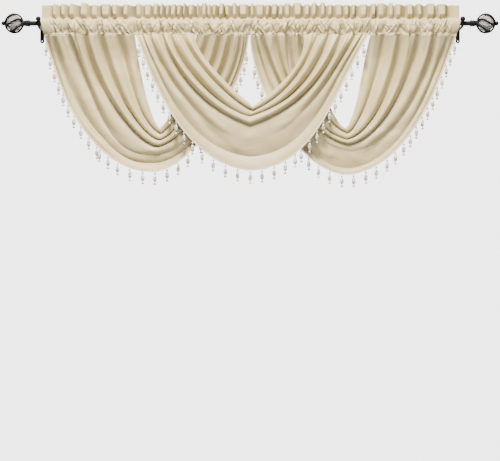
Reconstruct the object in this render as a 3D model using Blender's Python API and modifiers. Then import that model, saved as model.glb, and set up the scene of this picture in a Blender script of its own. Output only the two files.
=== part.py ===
# Swag and tail drape: three overlapping swags on an iron rod with two wall brackets.
# Drawn in millimetres about the rod: X along the rod, Z up, the viewer on the -Y side.
# Every object is then shifted so that the left wall plate's back face is the origin.
import math

import bmesh
import bpy
import numpy as np
from mathutils import Matrix, Vector

MM = 0.001
MERGE = 0.0001                 # metres
GAP = 0.3                      # clearance kept between touching pieces

# Rod
ROD_RADIUS = 8.0
ROD_BORE = 6.6
ROD_TURNS = 16
ROD_HALF_LENGTH = 737.0

# Finials
COLLAR_START = 737.3           # where the collar meets the rod's end
COLLAR_RADIUS = 10.8
COLLAR_LENGTH = 14.0
COLLAR_EDGE = 1.0              # bevel on the collar's two rims
COLLAR_TURNS = 12              # facets round the collar
NECK_RADIUS = 6.5
CAGE_CENTRE = 790.0
CAGE_RADIUS = 29.3             # centre line of the cage wires
WIRE_RADIUS = 2.0
WIRE_COUNT = 6
WIRE_TWIST = 110.0             # degrees from pole to pole
WIRE_POLE = 12.0               # degrees between a pole and the wires' ends
WIRE_STEPS = 8
BOSS_RADIUS = 8.5              # the discs that the wires run into
BOSS_LENGTH = 5.0
BOSS_EDGE = 1.2
BOSS_FACE = 3.0                # radius of the flat that faces the glass
BALL_RADIUS = 26.6
BALL_TURNS = 14
BALL_ROWS = 8
KNOB_X = 826.5
KNOB_RADIUS = 6.0
KNOB_TURNS = 10
KNOB_STEPS = 4

# Wall brackets
BRACKET_X = 710.0
WALL_Y = 70.0
PLATE_THICK = 3.5
EYE_RADIUS = 7.0
EYE_HOLE = 2.5
EYE_LOW = -47.0
EYE_HIGH = 17.0
EYE_STEPS = 8
HOLE_TURNS = 12
ARM_RADIUS = 3.0
ARM_KNEE_Y = 30.0              # where the level arm has a ring of its own
HOOK_TURNS = (250.0, 230.0, 210.0, 190.0)    # degrees round the rod, from under it to its front
HOOK_RISE = (-12.6, 3.5)       # y and z where the hook leaves the rod
HOOK_BALL = (-14.5, 11.0)      # y and z of the ball on the hook's tip
HOOK_BALL_RADIUS = 6.5
HOOK_BALL_ROWS = 6
BAR_TURNS = 8                  # facets round the hook's ball

# Headings: each leg's gathered pocket with its standing frill
CLOTH = 2.0
FRILL_TOP = 63.0
FLUTE_PITCH = 24.0
FLUTE_SWING = 6.5
FLUTE_VARIES = 0.25            # share by which the flutes' swing grows and shrinks along the rod
PUCKER = 0.07                  # how much the pocket's gathers swell and shrink
# name, start and end along the rod
HEADINGS = (
    ("heading_left_outer", -697.0, -387.0),
    ("heading_centre_left", -384.0, -181.0),
    ("heading_left_inner", -178.0, -3.0),
    ("heading_right_inner", 1.0, 176.0),
    ("heading_centre_right", 179.0, 399.5),
    ("heading_right_outer", 402.5, 697.0),
)
# y and z of the pocket's outer skin, from the upper stitch's front down and round to its back
POCKET_OUTSIDE = (
    (-1.1, 16.0), (-10.7, 9.2), (-13.5, -5.0), (-8.9, -23.5), (0.0, -37.25),
    (8.9, -23.5), (13.5, -5.0), (10.7, 9.2), (1.1, 16.0),
)
# y and z of the tunnel that the rod runs through
POCKET_INSIDE = ((0.0, 8.35), (-9.4, 7.6), (-11.5, -5.0), (0.0, -34.5), (11.5, -5.0), (9.4, 7.6))
# Faces that close a heading's end: outer points are 0 to 10 from the frill's front, inner 11 to 16
POCKET_END = (
    (0, 1, 9, 10), (1, 11, 9), (1, 2, 12, 11), (2, 3, 13, 12), (3, 4, 5, 14, 13),
    (5, 6, 7, 15, 14), (7, 8, 16, 15), (8, 9, 11, 16),
)

# Swags: a row per fold line, followed from the left leg to the right leg.
# Columns: line, x at the left stitch, two curve handles, lowest point, two curve handles,
# x at the right stitch, then how far the line stands forward on the legs and at the bottom,
# and how far the fold below it rises on the legs and at the bottom.
STITCH_Z = -38.0
SWAG_LEFT = (
    ("neck", -389, (-376, -155), (-332, -335), (-303, -349), (-261, -331), (-197, -146), -173, 4, 7, 9, 5),
    ("v1", -445, (-417, -154), (-376, -329), (-300, -367), (-234, -328), (-161, -123), -136, 0, 0, 15, 9),
    ("v2", -506, (-490, -184), (-358, -385), (-303, -387), (-237, -371), (-106, -145), -100, 0, 0, 15, 10),
    ("v3", -559, (-552, -176), (-373, -418), (-303, -407), (-199, -377), (-67, -158), -63, 0, 0, 16, 12),
    ("v4", -612, (-548, -173), (-498, -457), (-337, -435), (-166, -452), (-19, -128), -33, 3, 0, 12, 6),
    ("hem", -695, (-653, -240), (-528, -490), (-337, -497), (-215, -512), (-26, -245), -8, 4, 4, 0, 0),
)
SWAG_CENTRE = (
    ("neck", -182, (-209, -101), (32, -302), (10, -280), (82, -231), (199, -128), 182, 5, 10, 9, 5),
    ("v1", -233, (-181, -139), (-68, -258), (10, -291), (88, -257), (162, -196), 230, 0, 3, 14, 5),
    ("v2", -269, (-254, -125), (-95, -295), (0, -310), (114, -275), (204, -207), 266, 0, 0, 14, 10),
    ("v3", -297, (-235, -203), (-140, -287), (0, -337), (137, -289), (241, -216), 309, 0, 0, 15, 10),
    ("v4", -341, (-298, -166), (-160, -373), (-7, -395), (155, -403), (278, -158), 357, 2, 7, 10, 3),
    ("hem", -380, (-316, -230), (-213, -473), (0, -495), (230, -486), (282, -223), 397, 4, 4, 0, 0),
)
SWAG_RIGHT = (
    ("neck", 176, (208, -135), (285, -356), (323, -349), (357, -318), (379, -146), 406, 4, 7, 9, 5),
    ("v1", 168, (171, -137), (233, -325), (320, -361), (344, -403), (467, -112), 446, 0, 0, 14, 8),
    ("v2", 131, (116, -223), (230, -363), (325, -385), (408, -370), (506, -176), 506, 0, 0, 15, 9),
    ("v3", 84, (93, -168), (203, -385), (330, -401), (469, -381), (571, -97), 568, 0, 0, 16, 9),
    ("v4", 30, (69, -140), (164, -414), (344, -427), (489, -408), (618, -188), 621, 2, 4, 12, 6),
    ("hem", 3, (-8, -156), (147, -514), (337, -507), (524, -479), (636, -238), 695, 4, 4, 0, 0),
)
CREASE_DEPTH = (5, 3, 3, 4)        # the hem crease's own last four columns
HEM_ON_LEGS = 24.0                 # width of the turned hem
HEM_AT_BOTTOM = {"left": 39.0, "centre": 48.0, "right": 21.0}
FOLD_STEPS = (3, 4, 4, 4, 4, 2)    # mesh steps across each fold, neck to hem
HALF_STEPS = 9                     # mesh steps from a stitch to the lowest point
STITCH_BACK = 2.5                  # depth of the valleys at the stitch
STITCH_FLAT = 0.3                  # how much of a fold's rise is left at the stitch
FALL = 170.0                       # height over which a leg's folds open below the stitch
CENTRE_BACK = -15.0                # depth of the centre swag's valleys
SIDE_BACK = 29.0                   # depth of the two side swags' valleys

# Bead trim: a strip off each hem with hanging drops
STRIP_WIDE = 4.0
STRIP_THICK = 2.4
STRIP_GAP = 1.2
RUN_GAP = 0.5
DROP_SIDES = 3
# z and radius down a drop, from inside its strip
DROP = ((1.0, 0.9), (-13.0, 0.9), (-28.0, 4.4), (-44.0, 0.9))
DROP_ROOT = 1.2                # how far inside the edge a drop hangs from
TRIM_TOP = -44.0               # height at which a strip begins, just under the stitch
# A row per run of strip, followed from the left leg to the right leg.
# Columns: run, side of the swag, heights where it starts and stops, and its drops: their heights
# on a leg, or their x along the bottom.
TRIM_LEFT = (
    ("outer", "left", TRIM_TOP, -415.0, (-62, -106, -149, -191, -230, -268, -305, -342, -378, -410)),
    ("bottom", "both", -415.0, -415.0, (-505, -477, -445, -404, -361, -319, -278, -241, -208)),
    ("inner", "right", -415.0, TRIM_TOP, (-392, -359, -326, -293, -260, -227, -194, -160, -125, -90)),
)
TRIM_CENTRE = (
    ("left_top", "left", TRIM_TOP, -168.0, (-70, -110, -148)),
    ("left", "left", -168.0, -405.0, (-186, -223, -259, -295, -330, -364, -397)),
    ("bottom", "both", -405.0, -405.0, (-159, -122, -82, -42, 1, 40, 81, 118, 150, 170)),
    ("right", "right", -405.0, -165.0, (-392, -360, -327, -292, -257, -221, -184)),
    ("right_top", "right", -165.0, TRIM_TOP, (-147, -109, -70)),
)
TRIM_RIGHT = (
    ("inner", "left", TRIM_TOP, -415.0, (-137, -173, -210, -243, -275, -306, -337, -367, -397)),
    ("bottom", "both", -415.0, -415.0, (197, 230, 268, 308, 348, 389, 424, 461, 489)),
    ("outer", "right", -415.0, TRIM_TOP, (-398, -370, -341, -310, -277, -243, -208, -171, -133, -95, -60)),
)

ORIGIN = Vector((-BRACKET_X, WALL_Y, -15.0))


def clear_scene():
    for item in list(bpy.data.objects):
        bpy.data.objects.remove(item, do_unlink=True)


def collection(name):
    made = bpy.data.collections.new(name)
    bpy.context.scene.collection.children.link(made)
    return made


def material(name, colour, roughness, metallic=0.0, transmission=0.0):
    made = bpy.data.materials.new(name)
    made.use_nodes = True
    shader = made.node_tree.nodes["Principled BSDF"]
    shader.inputs["Base Color"].default_value = (*colour, 1.0)
    shader.inputs["Roughness"].default_value = roughness
    shader.inputs["Metallic"].default_value = metallic
    shader.inputs["Transmission Weight"].default_value = transmission
    return made


def place_mesh(name, mesh, surface, group):
    """An object for a mesh drawn about the rod, shifted to the part's origin."""
    item = bpy.data.objects.new(name, mesh)
    item.location = -ORIGIN * MM
    group.objects.link(item)
    if surface:
        mesh.materials.append(surface)
    if group == CUTTERS:
        item.hide_render = True
        item.display_type = "WIRE"
    return item


def add_object(name, vertices, edges, faces, surface, group):
    """A mesh object from millimetre points."""
    mesh = bpy.data.meshes.new(name)
    mesh.from_pydata([Vector(point) * MM for point in vertices], edges, faces)
    mesh.validate()
    if faces:
        shape = bmesh.new()
        shape.from_mesh(mesh)
        bmesh.ops.recalc_face_normals(shape, faces=shape.faces)
        shape.to_mesh(mesh)
        shape.free()
    return place_mesh(name, mesh, surface, group)


def union(item, tool):
    step = item.modifiers.new("join " + tool.name, "BOOLEAN")
    step.operation = "UNION"
    step.solver = "EXACT"
    step.object = tool


def thicken(item, thickness):
    step = item.modifiers.new("cloth thickness", "SOLIDIFY")
    step.thickness = thickness * MM
    step.offset = 0.0
    step.use_even_offset = False


def open_up(value):
    """From 0 at the stitch to 1, quick at first and then level."""
    left_over = 1.0 - np.clip(value, 0.0, 1.0)
    return 1.0 - left_over ** 3


def turned(name, profile, turns, surface, group, closed=False):
    """A body turned about the rod's axis from (x, radius) rows; a closed profile makes a tube."""
    points = [(along, 0.0, radius) for along, radius in profile]
    edges = [(index, index + 1) for index in range(len(points) - 1)]
    if closed:
        edges.append((len(points) - 1, 0))
    item = add_object(name, points, edges, [], surface, group)
    step = item.modifiers.new("turn", "SCREW")
    step.axis = "X"
    step.steps = turns
    step.render_steps = turns
    step.use_merge_vertices = True
    step.merge_threshold = MERGE
    step.use_normal_calculate = True
    step.use_normal_flip = closed
    return item


def ball(name, radius, centre, turns, rows, surface, group):
    """A sphere with its poles along X."""
    shape = bmesh.new()
    bmesh.ops.create_uvsphere(shape, u_segments=turns, v_segments=rows, radius=radius * MM)
    bmesh.ops.rotate(shape, matrix=Matrix.Rotation(math.pi / 2.0, 3, "Y"), verts=shape.verts)
    bmesh.ops.translate(shape, vec=Vector(centre) * MM, verts=shape.verts)
    mesh = bpy.data.meshes.new(name)
    shape.to_mesh(mesh)
    shape.free()
    return place_mesh(name, mesh, surface, group)


def mesh_of_curve(name, curve, turn, surface, group):
    """Makes a curve's body a mesh, so that a Boolean can join it."""
    item = bpy.data.objects.new(name, curve)
    bpy.context.scene.collection.objects.link(item)
    item.rotation_euler.x = turn
    bpy.context.view_layer.update()
    mesh = bpy.data.meshes.new_from_object(item.evaluated_get(bpy.context.evaluated_depsgraph_get()))
    mesh.transform(item.matrix_world)
    bpy.data.objects.remove(item, do_unlink=True)
    mesh.name = name
    shape = bmesh.new()
    shape.from_mesh(mesh)
    bmesh.ops.remove_doubles(shape, verts=shape.verts, dist=MERGE / 10.0)
    shape.to_mesh(mesh)
    shape.free()
    return place_mesh(name, mesh, surface, group)


def bars(name, paths, radius, resolution):
    """Round bars along paths of points, in one mesh that is joined to another."""
    curve = bpy.data.curves.new(name, "CURVE")
    curve.dimensions = "3D"
    curve.bevel_depth = radius * MM
    curve.bevel_resolution = resolution
    curve.use_fill_caps = True
    for path in paths:
        spline = curve.splines.new("POLY")
        spline.points.add(len(path) - 1)
        for point, target in zip(spline.points, path):
            point.co = (*(Vector(target) * MM), 1.0)
    return mesh_of_curve(name, curve, 0.0, None, CUTTERS)


def build_rod():
    """Plain tube; its ends butt against the finials' collars."""
    wall = (
        (-ROD_HALF_LENGTH, ROD_BORE), (ROD_HALF_LENGTH, ROD_BORE),
        (ROD_HALF_LENGTH, ROD_RADIUS), (-ROD_HALF_LENGTH, ROD_RADIUS),
    )
    turned("rod", wall, ROD_TURNS, IRON, PART, closed=True)


def build_finial(name, way):
    """Collar, neck, twisted wire cage and end knob; the glass ball is a piece of its own."""
    collar_end = COLLAR_START + COLLAR_LENGTH
    boss_face = CAGE_CENTRE - BALL_RADIUS - GAP
    profile = (
        (COLLAR_START, 0.0),
        (COLLAR_START, COLLAR_RADIUS - COLLAR_EDGE),
        (COLLAR_START + COLLAR_EDGE, COLLAR_RADIUS),
        (collar_end - COLLAR_EDGE, COLLAR_RADIUS),
        (collar_end, COLLAR_RADIUS - COLLAR_EDGE),
        (collar_end + 2.0 * COLLAR_EDGE, NECK_RADIUS),
        (boss_face - BOSS_LENGTH, BOSS_RADIUS),
        (boss_face - BOSS_EDGE, BOSS_RADIUS - 0.5),
        (boss_face, BOSS_FACE),
        (boss_face, 0.0),
    )
    collar = turned("finial_" + name, [(way * x, r) for x, r in profile], COLLAR_TURNS, IRON, PART)

    far_face = CAGE_CENTRE + BALL_RADIUS + GAP
    knob = [
        (far_face, 0.0),
        (far_face, BOSS_FACE),
        (far_face + BOSS_EDGE, BOSS_RADIUS - 0.5),
        (far_face + 3.0 * BOSS_EDGE, NECK_RADIUS),
    ]
    for step in range(KNOB_STEPS + 1):
        angle = math.radians(50.0 + 130.0 * step / KNOB_STEPS)
        knob.append((KNOB_X - KNOB_RADIUS * math.cos(angle), KNOB_RADIUS * math.sin(angle)))
    knob[-1] = (KNOB_X + KNOB_RADIUS, 0.0)
    end = turned("knob_" + name, [(way * x, r) for x, r in knob], KNOB_TURNS, None, CUTTERS)

    paths = []
    for wire in range(WIRE_COUNT):
        path = []
        for step in range(WIRE_STEPS + 1):
            part = step / WIRE_STEPS
            latitude = math.radians(WIRE_POLE + (180.0 - 2.0 * WIRE_POLE) * part)
            turn = math.radians(90.0 + 360.0 * wire / WIRE_COUNT + way * WIRE_TWIST * (part - 0.5))
            across = CAGE_RADIUS * math.sin(latitude)
            along = way * (CAGE_CENTRE - CAGE_RADIUS * math.cos(latitude))
            path.append((along, across * math.cos(turn), across * math.sin(turn)))
        paths.append(path)
    union(collar, bars("wires_" + name, paths, WIRE_RADIUS, 0))
    union(collar, end)
    centre = (way * CAGE_CENTRE, 0.0, 0.0)
    ball("ball_" + name, BALL_RADIUS, centre, BALL_TURNS, BALL_ROWS, GLASS, PART)


def build_bracket(name, x):
    """Forged strap with a screw eye at each end, an arm under the rod and a ball-tipped hook."""
    curve = bpy.data.curves.new("bracket_" + name, "CURVE")
    curve.dimensions = "2D"
    curve.fill_mode = "BOTH"
    curve.extrude = PLATE_THICK / 2.0 * MM
    outline = []
    for height, first in ((EYE_HIGH, 225.0), (EYE_LOW, 45.0)):
        for step in range(EYE_STEPS + 1):
            angle = math.radians(first - 270.0 * step / EYE_STEPS)
            outline.append((x + EYE_RADIUS * math.cos(angle), height + EYE_RADIUS * math.sin(angle)))
    loops = [outline]
    for height in (EYE_HIGH, EYE_LOW):
        turns = [2.0 * math.pi * step / HOLE_TURNS for step in range(HOLE_TURNS)]
        loops.append([(x + EYE_HOLE * math.cos(a), height + EYE_HOLE * math.sin(a)) for a in turns])
    plate_y = WALL_Y - PLATE_THICK / 2.0
    for loop in loops:
        spline = curve.splines.new("POLY")
        spline.use_cyclic_u = True
        spline.points.add(len(loop) - 1)
        for point, (across, up) in zip(spline.points, loop):
            point.co = (across * MM, up * MM, -plate_y * MM, 1.0)
    plate = mesh_of_curve("bracket_" + name, curve, math.pi / 2.0, IRON, PART)

    reach = ROD_RADIUS + GAP + ARM_RADIUS
    path = [(x, WALL_Y - PLATE_THICK + 1.0, -reach), (x, ARM_KNEE_Y, -reach), (x, 0.0, -reach)]
    for angle in HOOK_TURNS:
        turn = math.radians(angle)
        path.append((x, reach * math.cos(turn), reach * math.sin(turn)))
    path.append((x, *HOOK_RISE))
    path.append((x, *HOOK_BALL))
    union(plate, bars("arm_" + name, [path], ARM_RADIUS, 2))
    centre = (x, *HOOK_BALL)
    union(plate, ball("tip_" + name, HOOK_BALL_RADIUS, centre, BAR_TURNS, HOOK_BALL_ROWS, None, CUTTERS))


def build_heading(name, start, end):
    """A gathered rod pocket and the fluted frill that stands above it, one folded strip."""
    columns = round((end - start) / FLUTE_PITCH * 2.0)
    ring = len(POCKET_OUTSIDE) + 2 + len(POCKET_INSIDE)
    outer = len(POCKET_OUTSIDE) + 2
    vertices = []
    faces = []
    for column in range(columns + 1):
        x = start + (end - start) * column / columns
        side = (-1) ** column
        swing = side * FLUTE_SWING * (1.0 + FLUTE_VARIES * math.sin(x / 37.0))
        top = FRILL_TOP + 1.5 * math.sin(x / 29.0) + 1.0 * math.sin(x / 11.0)
        swell = 1.0 + PUCKER * side
        vertices.append((x, swing - CLOTH / 2.0, top))
        vertices += [(x, across * swell, up) for across, up in POCKET_OUTSIDE]
        vertices.append((x, swing + CLOTH / 2.0, top))
        vertices += [(x, across, up) for across, up in POCKET_INSIDE]
    for column in range(columns):
        first = column * ring
        for begin, count in ((0, outer), (outer, ring - outer)):
            for step in range(count):
                a = first + begin + step
                b = first + begin + (step + 1) % count
                faces.append((a, b, b + ring, a + ring))
    last = columns * ring
    faces += [tuple(end_face) for end_face in POCKET_END]
    faces += [tuple(last + index for index in end_face) for end_face in POCKET_END]
    add_object(name, vertices, [], faces, CHAMPAGNE, PART)


def half_line(stitch_x, upper, lower, lowest, steps):
    """Points at equal spacing down one side of a fold line, stitch to lowest point."""
    points = [np.array((stitch_x, STITCH_Z)), np.array(upper), np.array(lower), np.array(lowest)]
    part = np.linspace(0.0, 1.0, 81)[:, None]
    rest = 1.0 - part
    curve = rest ** 3 * points[0] + 3.0 * rest ** 2 * part * points[1]
    curve = curve + 3.0 * rest * part ** 2 * points[2] + part ** 3 * points[3]
    travel = np.concatenate(([0.0], np.cumsum(np.linalg.norm(np.diff(curve, axis=0), axis=1))))
    spots = np.linspace(0.0, travel[-1], steps + 1)
    return np.column_stack([np.interp(spots, travel, curve[:, axis]) for axis in (0, 1)])


def fold_line(row, steps):
    left = half_line(row[1], row[2], row[3], row[4], steps)
    right = half_line(row[7], row[6], row[5], row[4], steps)
    return np.concatenate((left, right[-2::-1]))


def outward_normals(line):
    """Unit vectors pointing down and out from a hem line that runs left to right."""
    ahead = np.gradient(line, axis=0)
    ahead = ahead / np.linalg.norm(ahead, axis=1)[:, None]
    return np.column_stack((ahead[:, 1], -ahead[:, 0]))


def swag_surface(name, table, back, steps, fold_steps):
    """Rows of 3-D points across a swag, neck to hem, and the traced outer edge."""
    lines = [fold_line(row, steps) for row in table]
    depths = [row[8:] for row in table]
    low = np.sin(math.pi * np.linspace(0.0, 1.0, 2 * steps + 1)) ** 4
    edge = lines[-1].copy()
    normals = outward_normals(edge)

    # The hem's crease lies a hem's width inside the edge, or halfway up where the cloth is narrow.
    inward = lines[-2] - edge
    span = np.linalg.norm(inward, axis=1)
    width = HEM_ON_LEGS + (HEM_AT_BOTTOM[name] - HEM_ON_LEGS) * low
    crease = edge + inward * np.minimum(0.5, width / span)[:, None]
    lines.insert(-1, crease)
    depths.insert(-1, CREASE_DEPTH)

    lines[-1] = edge - normals * (STRIP_WIDE + STRIP_GAP)
    for end in (0, -1):
        ahead = np.array((-normals[end, 1], normals[end, 0]))
        lines[-1][end] += ahead * (STITCH_Z - lines[-1][end, 1]) / ahead[1]
    rows = []
    for index, count in enumerate(fold_steps):
        upper, lower = depths[index], depths[index + 1]
        first = upper[0] + (upper[1] - upper[0]) * low
        second = lower[0] + (lower[1] - lower[0]) * low
        rise = upper[2] + (upper[3] - upper[2]) * low
        closing = 1 if index == len(fold_steps) - 1 else 0
        for step in range(count + closing):
            part = step / count
            flat = lines[index] * (1.0 - part) + lines[index + 1] * part
            forward = first * (1.0 - part) + second * part + rise * math.sin(math.pi * part)
            fallen = open_up((STITCH_Z - flat[:, 1]) / FALL)
            valley = STITCH_BACK + (back - STITCH_BACK) * fallen
            depth = valley - forward * (STITCH_FLAT + (1.0 - STITCH_FLAT) * fallen)
            rows.append(np.column_stack((flat[:, 0], depth, flat[:, 1])))
    return rows, edge, normals


def build_swag(name, table, back):
    rows, edge, normals = swag_surface(name, table, back, HALF_STEPS, FOLD_STEPS)
    columns = len(rows[0])
    vertices = [tuple(point) for row in rows for point in row]
    faces = []
    for row in range(len(rows) - 1):
        for column in range(columns - 1):
            a = row * columns + column
            faces.append((a, a + 1, a + 1 + columns, a + columns))
    panel = add_object("swag_" + name, vertices, [], faces, CHAMPAGNE, PART)
    thicken(panel, CLOTH)
    return edge, normals, rows[-1][:, 1]


def crossing(values, target):
    """Places along a sampled line, as fractional sample numbers, where it meets a value."""
    found = []
    for index in range(len(values) - 1):
        first, second = values[index], values[index + 1]
        if (first - target) * (second - target) <= 0.0 and first != second:
            found.append(index + (target - first) / (second - first))
    return found


def along_edge(spot, edge, normals, depth):
    samples = np.arange(len(edge))
    point = [np.interp(spot, samples, edge[:, axis]) for axis in (0, 1)]
    outward = [np.interp(spot, samples, normals[:, axis]) for axis in (0, 1)]
    return np.array(point), np.array(outward), float(np.interp(spot, samples, depth))


def hang_drop(shape, root):
    """One drop: its profile spun round the line that it hangs on, the ends closed."""
    profile = [shape.verts.new(root + Vector((radius, 0.0, up)) * MM) for up, radius in DROP]
    edges = [shape.edges.new(pair) for pair in zip(profile, profile[1:])]
    spun = bmesh.ops.spin(
        shape, geom=profile + edges, cent=root, axis=(0.0, 0.0, 1.0), angle=2.0 * math.pi,
        steps=DROP_SIDES, use_merge=True, use_normal_flip=True)
    bmesh.ops.holes_fill(shape, edges=[edge for edge in shape.edges if edge.is_boundary], sides=DROP_SIDES)
    return spun


def build_trim(name, table, edge, normals, depth):
    """The runs of strip round one swag, each with its bead drops fused on."""
    heights = edge[:, 1]
    middle = len(edge) // 2
    spacing = np.linalg.norm(edge[middle + 1] - edge[middle])
    for run, side, first_z, last_z, drops_at in table:
        starts_on = -1 if side == "right" else 0
        stops_on = 0 if side == "left" else -1
        start = crossing(heights, first_z)[starts_on] + RUN_GAP / 2.0 / spacing
        stop = crossing(heights, last_z)[stops_on] - RUN_GAP / 2.0 / spacing
        if side == "both":
            spots = [crossing(edge[:, 0], x)[0] for x in drops_at]
        else:
            spots = [crossing(heights, height)[starts_on] for height in drops_at]
        inner_spots = [spot for spot in range(len(edge)) if start + 0.05 < spot < stop - 0.05]
        stations = [start] + inner_spots + [stop]
        vertices = []
        for spot in stations:
            point, outward, y = along_edge(spot, edge, normals, depth)
            inside = point - outward * STRIP_WIDE
            for rim, shift in ((point, -1), (point, 1), (inside, 1), (inside, -1)):
                vertices.append((rim[0], y + shift * STRIP_THICK / 2.0, rim[1]))
        faces = [(0, 1, 2, 3)]
        for ring in range(len(stations) - 1):
            for corner in range(4):
                a = 4 * ring + corner
                b = 4 * ring + (corner + 1) % 4
                faces.append((a, b, b + 4, a + 4))
        last = 4 * (len(stations) - 1)
        faces.append((last, last + 1, last + 2, last + 3))
        strip = add_object("trim_" + name + "_" + run, vertices, [], faces, BEADED, PART)

        drops = bmesh.new()
        for spot in spots:
            point, outward, y = along_edge(spot, edge, normals, depth)
            root = point - outward * DROP_ROOT
            hang_drop(drops, Vector((root[0], y, root[1])) * MM)
        mesh = bpy.data.meshes.new("drops_" + name + "_" + run)
        drops.to_mesh(mesh)
        drops.free()
        union(strip, place_mesh(mesh.name, mesh, None, CUTTERS))


clear_scene()
PART = collection("swag_and_tail_drape")
CUTTERS = collection("cutters")
IRON = material("iron", (0.022, 0.021, 0.020), 0.45, metallic=0.8)
GLASS = material("glass", (0.50, 0.50, 0.49), 0.25, transmission=0.6)
CHAMPAGNE = material("champagne_cloth", (0.66, 0.57, 0.43), 0.5)
BEADED = material("bead_trim", (0.80, 0.79, 0.73), 0.2)

build_rod()
for side, way in (("left", -1), ("right", 1)):
    build_finial(side, way)
    build_bracket(side, way * BRACKET_X)
for heading in HEADINGS:
    build_heading(*heading)
for name, table, trim, back in (
    ("left", SWAG_LEFT, TRIM_LEFT, SIDE_BACK),
    ("centre", SWAG_CENTRE, TRIM_CENTRE, CENTRE_BACK),
    ("right", SWAG_RIGHT, TRIM_RIGHT, SIDE_BACK),
):
    hem_edge, hem_normals, hem_depth = build_swag(name, table, back)
    build_trim(name, trim, hem_edge, hem_normals, hem_depth)
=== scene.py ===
# A window valance: three swags of champagne faux silk with gathered rod-pocket headings and a
# bead-drop trim, overlapping on a black iron rod with caged-ball finials and two wall brackets.
# Sizes are in millimetres about the middle of the rod: X along it, Z up, the room on the -Y side.
import math
import random

import bpy
import numpy as np
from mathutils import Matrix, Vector


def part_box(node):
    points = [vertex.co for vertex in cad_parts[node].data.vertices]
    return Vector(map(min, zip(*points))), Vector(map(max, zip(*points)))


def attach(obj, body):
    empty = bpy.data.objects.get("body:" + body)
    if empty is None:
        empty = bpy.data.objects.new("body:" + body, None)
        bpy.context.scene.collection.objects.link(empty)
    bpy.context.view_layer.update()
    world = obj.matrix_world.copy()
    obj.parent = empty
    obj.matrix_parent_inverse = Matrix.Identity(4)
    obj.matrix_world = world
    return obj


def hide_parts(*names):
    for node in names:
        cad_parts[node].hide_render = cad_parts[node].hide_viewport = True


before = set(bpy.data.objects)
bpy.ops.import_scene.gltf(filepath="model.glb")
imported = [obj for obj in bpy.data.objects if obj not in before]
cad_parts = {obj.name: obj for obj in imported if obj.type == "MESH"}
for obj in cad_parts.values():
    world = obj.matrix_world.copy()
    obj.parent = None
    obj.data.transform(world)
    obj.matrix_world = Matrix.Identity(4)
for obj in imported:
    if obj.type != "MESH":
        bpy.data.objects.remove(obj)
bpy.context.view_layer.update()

# Cloth: a polyester faux silk, plain woven with slubs in the weft and a soft satin face. It is
# piece-dyed one champagne, so only its sheen and the light in its folds change the colour.
CHAMPAGNE = "#B7AC84"
CHAMPAGNE_DEEP = "#A89D70"
THREAD_PITCH = 0.0011          # drawn about three times as coarse as the real 0.35 mm, to show
SLUB_LENGTH = 0.035


def linear(code):
    """A linear colour from an sRGB hex value."""
    parts = [int(code[i:i + 2], 16) / 255.0 for i in (1, 3, 5)]
    return tuple(p / 12.92 if p <= 0.04045 else ((p + 0.055) / 1.055) ** 2.4 for p in parts) + (1.0,)


def add_node(tree, kind, links=None, **values):
    """Adds a shader node: links maps its inputs to sockets, values sets its inputs or properties."""
    node = tree.nodes.new(kind)
    for key, value in values.items():
        name = key.replace("_", " ")
        sockets = [s for s in node.inputs if s.name.lower() == name.lower()]
        if sockets:
            sockets[0].default_value = value
        else:
            setattr(node, key, value)
    for key, socket in (links or {}).items():
        tree.links.new(socket, node.inputs[key])
    return node


def new_material(name):
    """A new material, its node tree and its shader."""
    surface = bpy.data.materials.new(name)
    surface.use_nodes = True
    tree = surface.node_tree
    return surface, tree, tree.nodes["Principled BSDF"]


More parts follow.
